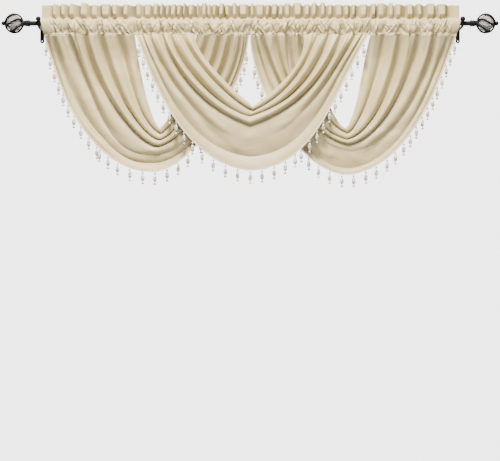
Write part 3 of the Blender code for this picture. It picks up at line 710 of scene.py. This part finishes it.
# Puckers fan out from both stitch lines: the line, the first one's place, and the ranges of
# their heights, reaches, half widths and spacings. Two in three of them are troughs.
PUCKERS = (
    (UPPER_STITCH, 3.0, (3.6, 7.8), (16.0, 54.0), (3.0, 6.0), (6.0, 11.0)),
    (STITCH_Z, 5.0, (4.4, 9.0), (16.0, 46.0), (3.2, 7.0), (6.5, 12.0)),
)
PUCKER_LEAN = 0.85
# One deeper trough runs down from each gap between two flutes.
GAP_LEAN = 0.3
GAP_REACH = (16.0, 34.0)
GAP_WIDE = (5.0, 9.0)
GAP_TALL = -7.5
# name, start and end along the rod (each is pushed up to its neighbour), the swag it belongs to,
# which of its legs, its flat end, how far both ends draw in at the lower stitch, and flute widths
HEADINGS = (
    ("left_outer", -697.0, -385.6, "left", 0, "start", 7.0, 0.0, (20.0, 41.0)),
    ("centre_left", -385.4, -179.6, "centre", 0, None, 0.0, 0.0, (15.0, 31.0)),
    ("left_inner", -179.4, -0.8, "left", 1, None, 0.0, 0.0, (14.0, 30.0)),
    ("right_inner", -0.6, 177.4, "right", 0, None, 0.0, 0.0, (14.0, 32.0)),
    ("centre_right", 177.6, 400.9, "centre", 1, None, 0.0, 0.0, (15.0, 32.0)),
    ("right_outer", 401.1, 701.0, "right", 1, "end", 0.0, 10.0, (19.0, 39.0)),
)


def flute_edges(start, end, flat_end, widths, rng):
    """Uneven widths of flutes along a leg; a flat end makes one wide, still stretch."""
    edges = [start]
    if flat_end == "start":
        edges.append(start + FLAT_END)
    stop = end - FLAT_END if flat_end == "end" else end
    while edges[-1] < stop - widths[0] * 1.5:
        edges.append(edges[-1] + rng.uniform(*widths))
    edges[-1] = stop
    if flat_end == "end":
        edges.append(end)
    return np.array(edges)


def pucker(x, z, middle, stitch, lean, reach, wide, tall):
    """One short crease that starts at a stitch line and dies out away from it."""
    away = np.abs(z - stitch)
    fade = np.clip(1.0 - away / reach, 0.0, 1.0) ** 0.6 * np.clip(away / 3.0 + 0.25, 0.0, 1.0)
    side = np.abs(x - middle - lean * away) / wide
    return tall * fade * np.clip(1.0 - side, 0.0, 1.0) ** 1.2


def pucker_field(xs, zs, edges, rng):
    """Forward height of the creases that fan out from both stitch lines of the pocket."""
    z = np.array(zs)[:, None]
    x = np.array(xs)[None, :]
    height = np.zeros((len(zs), len(xs)))
    for edge in edges[1:-1]:
        lean = rng.uniform(-GAP_LEAN, GAP_LEAN)
        reach = rng.uniform(*GAP_REACH)
        height += pucker(x, z, edge, UPPER_STITCH, lean, reach, rng.uniform(*GAP_WIDE), GAP_TALL)
    for stitch, first, heights, reaches, widths, spacings in PUCKERS:
        place = xs[0] + first
        while place < xs[-1]:
            lean = rng.uniform(-PUCKER_LEAN, PUCKER_LEAN)
            tall = rng.choice((-1.0, -1.0, 1.0)) * rng.uniform(*heights)
            reach = rng.uniform(*reaches)
            height += pucker(x, z, place, stitch, lean, reach, rng.uniform(*widths), tall)
            place += rng.uniform(*spacings)
    return height


for name, start, end, swag_name, leg, flat_end, draw_start, draw_end, widths in HEADINGS:
    rng = random.Random("heading " + name)
    xs = np.linspace(start, end, int(round((end - start) / COLUMN_STEP)) + 1)
    along_part = (xs - start) / (end - start)
    edges = flute_edges(start, end, flat_end, widths, rng)
    flute = np.clip(np.searchsorted(edges, xs, side="right") - 1, 0, len(edges) - 2)
    phase = (xs - edges[flute]) / (edges[flute + 1] - edges[flute])
    skews = np.array([rng.uniform(0.06, 0.22) for _ in edges])
    phase = phase + skews[flute] * np.sin(math.pi * phase) ** 2
    depths = np.array([rng.uniform(0.75, 1.15) for _ in edges])
    lifts = np.array([rng.uniform(-4.0, 3.0) for _ in edges])
    calm = np.ones_like(xs)
    if flat_end == "start":
        calm = np.clip((xs - start - FLAT_END * 0.7) / FLAT_FADE, 0.0, 1.0)
    if flat_end == "end":
        calm = np.clip((end - FLAT_END * 0.7 - xs) / FLAT_FADE, 0.0, 1.0)
    foots = np.array([rng.uniform(*FLUTE_FOOT) for _ in edges])[flute]
    shoulders = np.array([rng.uniform(*FLUTE_SHOULDER) for _ in edges])[flute]
    crest = easing((np.sin(math.pi * phase) - foots) / (shoulders - foots))
    from_ends = np.clip(np.minimum(xs - start, end - xs) / SWAY_FADE, 0.0, 1.0)
    sway = smooth_noise(xs, SWAY_PITCH, "sway " + name) * FLUTE_SWAY * calm * from_ends
    swing = depths[flute]

    top_line = swag_tops[swag_name][leg]
    order = np.argsort(top_line[:, 0])
    seam_y = np.interp(xs, top_line[order, 0], top_line[order, 1])
    folds = (np.mean(seam_y) - seam_y) * calm
    pocket_z = np.linspace(STITCH_Z, UPPER_STITCH, POCKET_ROWS)
    half_depth = np.interp(pocket_z, [row[0] for row in POCKET][::-1], [row[1] for row in POCKET][::-1])
    clear = np.sqrt(np.clip(ROD_CLEAR ** 2 - pocket_z ** 2, 0.0, None))
    puckers = pucker_field(xs, pocket_z, edges, rng) * (0.12 + 0.88 * calm)
    drawing = draw_start * (1.0 - along_part) ** 8 - draw_end * along_part ** 8
    front_rows = []
    back_rows = []
    for step, z in enumerate(pocket_z):
        from_seam = np.clip((z - STITCH_Z) / SEAM_TURN, 0.0, 1.0)
        drawn = xs + drawing * np.clip(z / STITCH_Z, 0.0, 1.0)
        carried = FOLD_CARRY * folds * np.clip((CARRY_TOP - z) / CARRY_FADE, 0.0, 1.0)
        front = np.maximum(half_depth[step] + puckers[step] + carried, clear[step] + ROD_GAP)
        back = np.maximum(half_depth[step] + 0.5 * puckers[step], clear[step] + ROD_GAP)
        front_y = seam_y * (1.0 - from_seam) - front * from_seam - 0.5
        back_y = (seam_y + SEAM_GAP) * (1.0 - from_seam) + back * from_seam
        front_rows.append(np.column_stack((drawn, front_y, np.full_like(xs, z))))
        back_rows.append(np.column_stack((drawn, back_y, np.full_like(xs, z))))
    frill_rows = []
    for part in np.linspace(0.03, 1.0, FRILL_ROWS):
        back = np.clip(part / 0.20, 0.0, 1.0) ** 0.6 * (1.0 - GAP_CLOSING * part)
        front = np.clip(part / 0.30, 0.0, 1.0) ** 0.7 * (1.0 - 0.35 * part)
        lean = (FLUTE_BACK * (1.0 - crest) * back + FLUTE_FRONT * crest * front) * swing
        joined_puckers = -puckers[-1] * 0.6 * (1.0 - part) ** 3 - 1.6 * (1.0 - part) ** 4
        height = (FRILL_TOP - UPPER_STITCH) * part + (FLUTE_RISE + lifts[flute]) * crest * calm * part ** 2
        out = np.column_stack((xs + sway * part, lean * calm + joined_puckers, UPPER_STITCH + height))
        frill_rows.append(out)
    over = frill_rows[-1] + np.array((0.0, FRILL_THICK / 2.0, 0.9))
    behind = [row + np.array((0.0, FRILL_THICK, 0.0)) for row in frill_rows[::-1]]
    grid = np.array(front_rows + frill_rows + [over] + behind + back_rows[::-1])
    grid[:, :, 0] += np.interp(xs, SLANT_TURNS, (END_SLANT, -END_SLANT)) * grid[:, :, 1]
    down, along = travel_of(grid, 0), travel_of(grid, 1)
    flat_u, flat_v = np.meshgrid(along, down)
    heading = sheet_from_grid("heading_cloth_" + name, grid[:, ::-1], flat_u, flat_v)
    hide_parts("heading_" + name)


# Rod and finials: wrought-look steel, powder coated in a soft satin black. The rod is a plain
# tube, kept as it is. The finials are wires welded pole to pole round a smoked glass ball, with
# a turned collar that fits over the rod's end and a turned end knob.
COLLAR = (                     # distance past the rod's end face and radius
    (0.0, 8.4), (0.6, 10.6), (1.6, 11.2), (4.6, 11.2), (5.6, 10.2), (6.4, 9.4), (7.6, 9.4), (8.4, 10.2),
    (9.4, 11.0), (12.2, 11.0), (13.4, 10.0), (14.2, 9.4), (17.0, 8.8), (24.0, 8.8), (26.4, 9.4), (29.0, 7.0),
)
ROD_END = 737.3
CAGE_MIDDLE = 790.0
CAGE_RADIUS = 29.6
CAGE_TALL = 1.05
CAGE_WIRE = 3.1
CAGE_TWIST = 95.0              # degrees that each twisted wire goes round from pole to pole
CAGE_STEPS = 30
WIRE_POLE = 12.0
KNOB = ((-6.6, 1.0), (-6.2, 4.0), (-4.6, 6.0), (-1.7, 7.3), (1.7, 7.3), (4.6, 5.6), (6.0, 3.0), (6.6, 0.5))
KNOB_MIDDLE = 826.5
INNER_BOSS = ((-31.6, 3.0), (-30.0, 8.0), (-27.6, 8.4), (-26.8, 6.0))
OUTER_BOSS = ((26.8, 6.0), (27.6, 8.4), (30.0, 7.0), (32.6, 3.6))
TURNINGS = ((ROD_END, COLLAR, 28), (KNOB_MIDDLE, KNOB, 24), (CAGE_MIDDLE, INNER_BOSS, 24),
            (CAGE_MIDDLE, OUTER_BOSS, 24))


def black_iron():
    """Satin black powder coat over forged steel: fine orange peel, slight wear to grey."""
    surface, tree, shader = new_material("black_iron")
    space = add_node(tree, "ShaderNodeTexCoord")
    mottle = add_node(tree, "ShaderNodeTexNoise", {"Vector": space.outputs["Object"]}, Scale=90.0, Detail=4.0)
    colour = add_node(tree, "ShaderNodeMix", {"Factor": mottle.outputs["Fac"]}, data_type="RGBA")
    colour.inputs[6].default_value = linear("#080808")
    colour.inputs[7].default_value = linear("#121111")
    tree.links.new(colour.outputs[2], shader.inputs["Base Color"])
    rough = add_node(tree, "ShaderNodeMapRange", {"Value": mottle.outputs["Fac"]}, To_Min=0.5, To_Max=0.65)
    tree.links.new(rough.outputs["Result"], shader.inputs["Roughness"])
    peel = add_node(tree, "ShaderNodeTexNoise", {"Vector": space.outputs["Object"]}, Scale=700.0, Detail=2.0)
    bump = add_node(tree, "ShaderNodeBump", {"Height": peel.outputs["Fac"]}, Strength=0.25, Distance=0.0003)
    tree.links.new(bump.outputs["Normal"], shader.inputs["Normal"])
    shader.inputs["Specular IOR Level"].default_value = 0.16
    return surface


def smoked_glass():
    """Thick grey glass, slightly clouded."""
    surface, tree, shader = new_material("smoked_glass")
    space = add_node(tree, "ShaderNodeTexCoord")
    cloud = add_node(tree, "ShaderNodeTexNoise", {"Vector": space.outputs["Object"]}, Scale=35.0, Detail=3.0)
    colour = add_node(tree, "ShaderNodeMix", {"Factor": cloud.outputs["Fac"]}, data_type="RGBA")
    colour.inputs[6].default_value = linear("#8F8F8B")
    colour.inputs[7].default_value = linear("#C4C4BF")
    tree.links.new(colour.outputs[2], shader.inputs["Base Color"])
    shader.inputs["Transmission Weight"].default_value = 0.55
    shader.inputs["Roughness"].default_value = 0.1
    shader.inputs["IOR"].default_value = 1.5
    return surface


IRON = black_iron()
GLASS = smoked_glass()
for node in ("rod", "ball_left", "ball_right"):
    metal = bpy.data.objects[node]
    metal.data.materials.clear()
    metal.data.materials.append(IRON if node == "rod" else GLASS)
    metal.data.shade_smooth()


def cage_wires(side):
    """Two plain wires make an upright ring along the rod, and six more are twisted round it."""
    paths = []
    wires = [(90.0, 0.0), (270.0, 0.0)]
    wires += [(start, CAGE_TWIST) for start in (0.0, 60.0, 120.0, 180.0, 240.0, 300.0)]
    for start, twist in wires:
        part = np.linspace(0.0, 1.0, CAGE_STEPS + 1)
        pole = np.radians(WIRE_POLE + (180.0 - 2.0 * WIRE_POLE) * part)
        round_angle = np.radians(start + twist * (part - 0.5))
        out = CAGE_RADIUS * np.sin(pole)
        x = side * (CAGE_MIDDLE - CAGE_RADIUS * np.cos(pole))
        paths.append(np.column_stack((x, out * np.cos(round_angle), out * CAGE_TALL * np.sin(round_angle))))
    return tubes(paths, CAGE_WIRE, 2)


for name, side in (("left", -1), ("right", 1)):
    parts = [cage_wires(side)]
    for middle, profile, sides in TURNINGS:
        outline = [(side * (middle + along), out) for along, out in profile]
        parts.append(turned(outline, sides, (0, 0, 0), "X"))
    finial = joined("finial_iron_" + name, parts, IRON)
    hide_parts("finial_" + name)


# Brackets: a flat wall strap forged out to a screw eye at both ends, and a round arm welded to
# it that runs out under the rod, turns up in front of it as a cradle and ends in a ball tip.
STRAP_X = 710.0
WALL_Y = 70.0
STRAP_THICK = 3.5
STRAP_HALF = 6.8
EYE_LOW = -47.0
EYE_HIGH = 17.0
EYE_RADIUS = 7.4
EYE_HOLE = 1.8
ARM_RADIUS = 4.4
FRONT_LEAN = {-1: 3.2, 1: 0.0}  # how far the left and the right cradle lean to the rod's middle
ARM = ((66.5, -11.7), (40.0, -11.7), (14.0, -11.7), (4.0, -11.7), (-4.0, -11.0), (-9.2, -7.8),
       (-12.4, -2.6), (-13.4, 4.0), (-13.8, 9.0))
TIP_BALL = (-14.5, 12.0)
TIP_RADIUS = 8.6


def strap_plate(side):
    """The wall strap: a plate with softened edges and a drilled eye at each end."""
    middle = (side * STRAP_X, WALL_Y - STRAP_THICK / 2.0, (EYE_LOW + EYE_HIGH) / 2.0)
    bpy.ops.object.select_all(action="DESELECT")
    bpy.ops.mesh.primitive_cube_add(size=1.0, location=in_row(middle))
    plate = bpy.context.object
    plate.scale = (2.0 * STRAP_HALF / 1000.0, STRAP_THICK / 1000.0, (EYE_HIGH - EYE_LOW) / 1000.0)
    bpy.ops.object.transform_apply(location=True, rotation=True, scale=True)
    for z in (EYE_LOW, EYE_HIGH):
        place = in_row((side * STRAP_X, WALL_Y - STRAP_THICK / 2.0, z))
        bpy.ops.mesh.primitive_cylinder_add(vertices=28, radius=EYE_RADIUS / 1000.0,
                                            depth=STRAP_THICK / 1000.0,
                                            location=place, rotation=(math.pi / 2.0, 0.0, 0.0))
        eye = bpy.context.object
        bpy.ops.mesh.primitive_cylinder_add(vertices=20, radius=EYE_HOLE / 1000.0, depth=0.02,
                                            location=place, rotation=(math.pi / 2.0, 0.0, 0.0))
        drill = bpy.context.object
        for action, tool in (("UNION", eye), ("DIFFERENCE", drill)):
            cut = plate.modifiers.new("cut", "BOOLEAN")
            cut.operation = action
            cut.solver = "EXACT"
            cut.object = tool
            bpy.ops.object.select_all(action="DESELECT")
            plate.select_set(True)
            bpy.context.view_layer.objects.active = plate
            bpy.ops.object.modifier_apply(modifier=cut.name)
            bpy.data.objects.remove(tool)
    rim = plate.modifiers.new("rim", "BEVEL")
    rim.width = 0.0006
    rim.segments = 2
    rim.limit_method = "ANGLE"
    bpy.ops.object.modifier_apply(modifier=rim.name)
    return plate


for name, side in (("left", -1), ("right", 1)):
    arm = np.array([(side * (STRAP_X - FRONT_LEAN[side] * (WALL_Y - y) / WALL_Y), y, z) for y, z in ARM])
    parts = [strap_plate(side), tubes([arm], ARM_RADIUS, 3)]
    bpy.ops.mesh.primitive_uv_sphere_add(segments=24, ring_count=14, radius=TIP_RADIUS / 1000.0,
                                         location=in_row((arm[-1][0], TIP_BALL[0], TIP_BALL[1])))
    parts.append(bpy.context.object)
    bracket = joined("bracket_iron_" + name, parts, IRON)
    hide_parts("bracket_" + name)


# Camera: level, 3.4 m in front of the rod and well below it, as the photograph was taken.
CAMERA_AWAY = 3400.0
CAMERA_BELOW = 694.0
VIEW_WIDTH = 1675.0            # what the picture's width spans at the rod
SENSOR = 36.0
lens = bpy.data.cameras.new("camera")
lens.sensor_width = SENSOR
lens.lens = SENSOR * CAMERA_AWAY / VIEW_WIDTH
camera = bpy.data.objects.new("camera", lens)
camera.location = in_row((0.0, -CAMERA_AWAY, -CAMERA_BELOW))
camera.rotation_euler = (math.radians(90.0), 0.0, 0.0)
bpy.context.scene.collection.objects.link(camera)
bpy.context.scene.camera = camera

# Floor and light: a plain pale floor as far below the rod as in a room, a large soft key light
# high in front, a weak fill low in front and a broad one behind, and a bright plain background.
FLOOR_DROP = 2100.0
FLOOR_SIZE = 4.2
bpy.ops.object.select_all(action="DESELECT")
bpy.ops.mesh.primitive_plane_add(size=FLOOR_SIZE, location=in_row((0.0, 0.0, -FLOOR_DROP)))
floor = bpy.context.object
floor.name = "floor"
paint, _, paint_shader = new_material("pale_floor")
paint_shader.inputs["Base Color"].default_value = linear("#F4F4F2")
paint_shader.inputs["Roughness"].default_value = 0.9
floor.data.materials.append(paint)


def softbox(name, place, target, size, power, colour):
    """A square area light aimed at a point, both in millimetres about the rod's middle."""
    light = bpy.data.lights.new(name, "AREA")
    light.size = size
    light.energy = power
    light.color = linear(colour)[:3]
    lamp = bpy.data.objects.new(name, light)
    lamp.location = in_row(place)
    direction = Vector(in_row(target) - in_row(place))
    lamp.rotation_euler = direction.to_track_quat("-Z", "Y").to_euler()
    bpy.context.scene.collection.objects.link(lamp)


softbox("key", (-180.0, -1700.0, 2450.0), (0.0, 0.0, -250.0), 1.1, 620.0, "#FFF0E4")
softbox("fill", (500.0, -3300.0, -500.0), (0.0, 0.0, -250.0), 1.2, 35.0, "#EAF0FF")
softbox("back", (0.0, 3000.0, 600.0), (0.0, 0.0, -250.0), 2.4, 150.0, "#F4F7FF")

world = bpy.data.worlds.new("studio")
bpy.context.scene.world = world
world.use_nodes = True
air = world.node_tree
air.nodes.clear()
lit = add_node(air, "ShaderNodeBackground", Color=linear("#DCE6FF"), Strength=0.05)
seen = add_node(air, "ShaderNodeBackground", Color=linear("#FDFDFF"), Strength=4.2)
through = add_node(air, "ShaderNodeBackground", Color=linear("#FFFFFF"), Strength=1.6)
path = add_node(air, "ShaderNodeLightPath")
glassy = add_node(air, "ShaderNodeMixShader",
                  {0: path.outputs["Is Transmission Ray"], 1: lit.outputs[0], 2: through.outputs[0]})
mixed = add_node(air, "ShaderNodeMixShader",
                 {0: path.outputs["Is Camera Ray"], 1: glassy.outputs[0], 2: seen.outputs[0]})
add_node(air, "ShaderNodeOutputWorld", {"Surface": mixed.outputs[0]})
